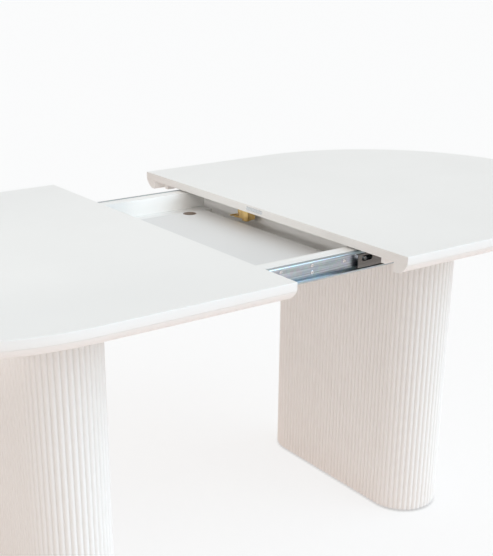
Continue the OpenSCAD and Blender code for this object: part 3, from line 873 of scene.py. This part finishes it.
def build_locator():
    """A magnet in the left board's edge, and its thin plate let into the right board's edge."""
    low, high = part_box("right_locator_plate")
    bm = bmesh.new()
    outline = rounded_rectangle(low.y, high.y, low.z, high.z, 1 * MM, 3)
    add_plate(bm, outline, [], lambda u, v, w: (low.x - PROUD + w, u, v), high.x - low.x, 0.1 * MM)
    add_piece("right_locator_strike", bm, "bright_steel", "bright_steel", "right_top", "right_locator_plate")
    low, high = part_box("left_locator_magnet")
    bm = bmesh.new()
    add_box(bm, low, (high.x + PROUD, high.y, high.z), 0.5 * MM)
    add_piece("left_locator_magnet_bar", bm, "bright_steel", "bright_steel", "left_top",
              "left_locator_magnet")


BOARD_UNDERSIDE = 737 * MM
CATCH_PLATE = 1.5 * MM
PLATE_HALF = 18 * MM
PIVOT = (162 * MM, 76 * MM)
KEEPER_PIN = (-154 * MM, 76 * MM)
HOUSING_HALF = 11 * MM
HOUSING_FLOOR = 710.3 * MM
SCREW_SPREAD = 12 * MM


def add_catch_screws(bm, x, y):
    """Two screw heads on the underside of a catch plate."""
    for rise in (-SCREW_SPREAD, SCREW_SPREAD):
        seat = Matrix.Translation((x, y + rise, BOARD_UNDERSIDE - CATCH_PLATE))
        add_screw_head(bm, seat @ Matrix.Rotation(math.pi, 4, "X"), 3.5 * MM, 1.5 * MM)


def build_catch_housing():
    """The brass case under the right board, with its screwed plate and the headed pivot below."""
    low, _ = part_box("right_catch_housing")
    x, y = PIVOT
    plate_z = BOARD_UNDERSIDE - CATCH_PLATE
    bm = bmesh.new()
    add_box(bm, (x - HOUSING_HALF, y - PLATE_HALF, plate_z),
            (x + 2 * HOUSING_HALF, y + PLATE_HALF, BOARD_UNDERSIDE), 0.4 * MM)
    add_box(bm, (x - HOUSING_HALF, y - PLATE_HALF, HOUSING_FLOOR),
            (x + HOUSING_HALF, y + PLATE_HALF, plate_z), 1.6 * MM)
    head, stem = 6.5 * MM, 4 * MM
    pin = [(0, low.z), (head - 0.4 * MM, low.z), (head, low.z + 0.4 * MM), (head, low.z + 1.6 * MM),
           (head - 0.4 * MM, low.z + 2 * MM), (stem, low.z + 2 * MM), (stem, HOUSING_FLOOR + 1 * MM),
           (0, HOUSING_FLOOR + 1 * MM)]
    add_turned(bm, pin, Matrix.Translation((x, y, 0)), 40)
    add_catch_screws(bm, x + 17 * MM, y)
    add_piece("right_catch_case", bm, "brass", "brass", "right_top", "right_catch_housing")


def build_catch_keeper():
    """The pin under the left board that the hook closes round."""
    low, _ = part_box("left_catch_keeper")
    x, y = KEEPER_PIN
    bm = bmesh.new()
    add_box(bm, (x - 9 * MM, y - PLATE_HALF, BOARD_UNDERSIDE - CATCH_PLATE),
            (x + 9 * MM, y + PLATE_HALF, BOARD_UNDERSIDE), 0.4 * MM)
    reach = 3 * MM
    pin = [(0, low.z), (reach - 0.6 * MM, low.z), (reach, low.z + 0.6 * MM),
           (reach, BOARD_UNDERSIDE - CATCH_PLATE), (0, BOARD_UNDERSIDE - CATCH_PLATE)]
    add_turned(bm, pin, Matrix.Translation((x, y, 0)), 32)
    add_catch_screws(bm, x, y)
    add_piece("left_catch_pin_plate", bm, "brass", "brass", "left_top", "left_catch_keeper")


LEVER_THICKNESS = 3 * MM
LEVER_REACH = 57 * MM           # from the pivot to the far end of the lever
HOOK_RADIUS = 48 * MM           # from the pivot to the middle of the hook's slot
SLOT_HALF = 3.6 * MM
BOSS_RADIUS = 11 * MM
PIVOT_HOLE = 4.1 * MM
ARM_TURNS = (-24, 8)
HOOK_TURNS = (-7, 8)
KNOB_TURN = -16


def polar(reach, degrees):
    """A point of the lever at rest, when it points along +Y. Angles run from the lever's middle line."""
    turn = math.radians(90 + degrees)
    return PIVOT[0] + reach * math.cos(turn), PIVOT[1] + reach * math.sin(turn)


def arc(reach, start, stop, steps):
    return [polar(reach, start + (stop - start) * i / steps) for i in range(steps + 1)]


def build_catch_lever():
    """A flat hooked lever with a turned knob."""
    low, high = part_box("catch_lever")
    lever_top = low.z + LEVER_THICKNESS
    bm = bmesh.new()
    outline = arc(LEVER_REACH, *ARM_TURNS, 10)
    outline += arc(HOOK_RADIUS + SLOT_HALF, HOOK_TURNS[1], HOOK_TURNS[0], 6)
    outline += arc(HOOK_RADIUS - SLOT_HALF, HOOK_TURNS[0], HOOK_TURNS[1], 6)
    outline += arc(BOSS_RADIUS, HOOK_TURNS[1], 360 + ARM_TURNS[0], 36)
    hole = circle(*PIVOT, PIVOT_HOLE, 32)
    add_plate(bm, outline, [hole], lambda u, v, w: (u, v, low.z + w), LEVER_THICKNESS, 0.4 * MM)
    tall = high.z - lever_top
    knob = [(0, -0.5 * MM), (3.4 * MM, -0.5 * MM), (3.4 * MM, 2 * MM), (4.4 * MM, 3 * MM),
            (5 * MM, 4.5 * MM), (5 * MM, tall - 2 * MM), (4.4 * MM, tall - 0.7 * MM),
            (3 * MM, tall - 0.1 * MM), (0, tall)]
    add_turned(bm, knob, Matrix.Translation((*polar(HOOK_RADIUS, KNOB_TURN), lever_top)), 32)
    add_piece("catch_hook", bm, "brass", "brass", "catch", "catch_lever")


def build_catch():
    build_catch_housing()
    build_catch_keeper()
    build_catch_lever()


# ---------------------------------------------------------------- glides
GLIDE_RADIUS = 15 * MM
GLIDE_XS = (-45 * MM, 45 * MM)
GLIDE_YS = (-165 * MM, -60 * MM, 60 * MM, 165 * MM)


def build_glides():
    """Sixteen nylon glides with rounded rims, in four rows of two under each leg."""
    low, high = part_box("floor_glides")
    radius = GLIDE_RADIUS
    profile = [(0, low.z), (radius - 2.2 * MM, low.z), (radius - 1 * MM, low.z + 0.4 * MM),
               (radius, low.z + 1.6 * MM), (radius, high.z - 0.3 * MM),
               (radius - 0.3 * MM, high.z), (0, high.z)]
    bm = bmesh.new()
    for leg in ("left_leg_shell", "right_leg_shell"):
        leg_low, leg_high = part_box(leg)
        middle = (leg_low.x + leg_high.x) / 2
        for dx in GLIDE_XS:
            for y in GLIDE_YS:
                add_turned(bm, profile, Matrix.Translation((middle + dx, y, 0)), 32)
    add_piece("leg_glide_discs", bm, "glide", "glide_nylon", "frame", "floor_glides")


# ---------------------------------------------------------------- stage
CAMERA_PLACE = (-1.240, -1.834, 1.313)
CAMERA_YAW, CAMERA_PITCH, CAMERA_ROLL = 34.38, 21.86, 0.17
CAMERA_LENS = 67.1
CAMERA_SHIFT = (0.0592, 0.1413)
CAMERA_CLIP = 200
FLOOR_HALF = 60
SKY = (1.0, 0.935, 0.878)
SKY_STRENGTH = 0.75
COOL = (0.625, 0.838, 1.0)
WARM = (1.0, 0.784, 0.695)
NEUTRAL = (1.0, 0.95, 0.92)
FLOOR_GLOW_PLACE = (0, 0, 0.002)
FLOOR_GLOW_SIZE = (8, 8)
EDGE_GLOW_PLACE = (-3.0, 0.0, 1.25)
RIGHT_INNER_EDGE = (0.134, 0.0, 0.73)
CORNER_GLOW_PLACE = (-0.08, -0.9, 0.93)
FAR_RIGHT_CORNER = (0.05, 0.28, 0.71)


def place_camera():
    """Stands the camera where the photo was taken from, with the photo's framing."""
    yaw, pitch, roll = (math.radians(a) for a in (CAMERA_YAW, CAMERA_PITCH, CAMERA_ROLL))
    forward = Vector((math.sin(yaw) * math.cos(pitch), math.cos(yaw) * math.cos(pitch), -math.sin(pitch)))
    level = Vector((math.cos(yaw), -math.sin(yaw), 0))
    down = forward.cross(level)
    right = level * math.cos(roll) + down * math.sin(roll)
    up = level * math.sin(roll) - down * math.cos(roll)
    camera = bpy.data.cameras.new("camera")
    camera.lens = CAMERA_LENS
    camera.shift_x, camera.shift_y = CAMERA_SHIFT
    camera.clip_end = CAMERA_CLIP
    obj = bpy.data.objects.new("camera", camera)
    turn = Matrix((right, up, -forward)).transposed().to_4x4()
    obj.matrix_world = Matrix.Translation(CAMERA_PLACE) @ turn
    bpy.context.scene.collection.objects.link(obj)
    bpy.context.scene.camera = obj


def add_sun(name, toward, strength, spread, color=(1, 1, 1)):
    """A wide, soft light that comes from one side and is even over the whole floor."""
    light = bpy.data.lights.new(name, "SUN")
    light.energy = strength
    light.angle = math.radians(spread)
    light.color = color
    obj = bpy.data.objects.new(name, light)
    obj.rotation_euler = Vector(toward).to_track_quat("Z", "Y").to_euler()
    bpy.context.scene.collection.objects.link(obj)


def add_area_light(name, place, toward, size, energy, color):
    """A flat light that the camera doesn't see, facing a direction. Size is across, then up."""
    light = bpy.data.lights.new(name, "AREA")
    light.shape = "RECTANGLE"
    light.size, light.size_y = size
    light.energy = energy
    light.color = color
    obj = bpy.data.objects.new(name, light)
    obj.location = place
    obj.rotation_euler = Vector(toward).to_track_quat("-Z", "Y").to_euler()
    obj.visible_camera = False
    bpy.context.scene.collection.objects.link(obj)


def add_spot(name, place, target, cone, energy, color):
    """A narrow beam with a soft rim, aimed at one point. The cone's full angle is in degrees."""
    light = bpy.data.lights.new(name, "SPOT")
    light.spot_size = math.radians(cone)
    light.spot_blend = 1.0
    light.shadow_soft_size = 0.04
    light.energy = energy
    light.color = color
    obj = bpy.data.objects.new(name, light)
    obj.location = place
    obj.rotation_euler = (Vector(target) - Vector(place)).to_track_quat("-Z", "Y").to_euler()
    bpy.context.scene.collection.objects.link(obj)


def build_stage():
    """The floor, three soft suns, the light the floor throws up, two narrow beams and the sky."""
    bm = bmesh.new()
    bmesh.ops.create_grid(bm, x_segments=2, y_segments=2, size=FLOOR_HALF)
    floor = make_object("floor", bm, [MATERIALS["floor"]])
    add_sun("window_light", (0.35, -0.75, 0.75), 0.64, 50, COOL)
    add_sun("side_light", (0.8, -0.5, 0.5), 1.27, 60, COOL)
    add_sun("low_front_light", (0.1, -1, 0.12), 0.21, 60, COOL)
    add_area_light("floor_glow", FLOOR_GLOW_PLACE, (0, 0, 1), FLOOR_GLOW_SIZE, 106, WARM)
    add_spot("edge_glow", EDGE_GLOW_PLACE, RIGHT_INNER_EDGE, 17, 66, NEUTRAL)
    add_spot("corner_glow", CORNER_GLOW_PLACE, FAR_RIGHT_CORNER, 12, 13, NEUTRAL)
    world = bpy.data.worlds.new("studio")
    world.use_nodes = True
    background = world.node_tree.nodes["Background"]
    background.inputs["Color"].default_value = (*SKY, 1)
    background.inputs["Strength"].default_value = SKY_STRENGTH
    bpy.context.scene.world = world
    bpy.context.scene.view_settings.view_transform = "Standard"


place_camera()
paint_cad_nodes()
build_tops()
build_legs()
build_frame_boards()
build_leaf()
build_slides()
build_locator()
build_catch()
build_glides()
build_stage()
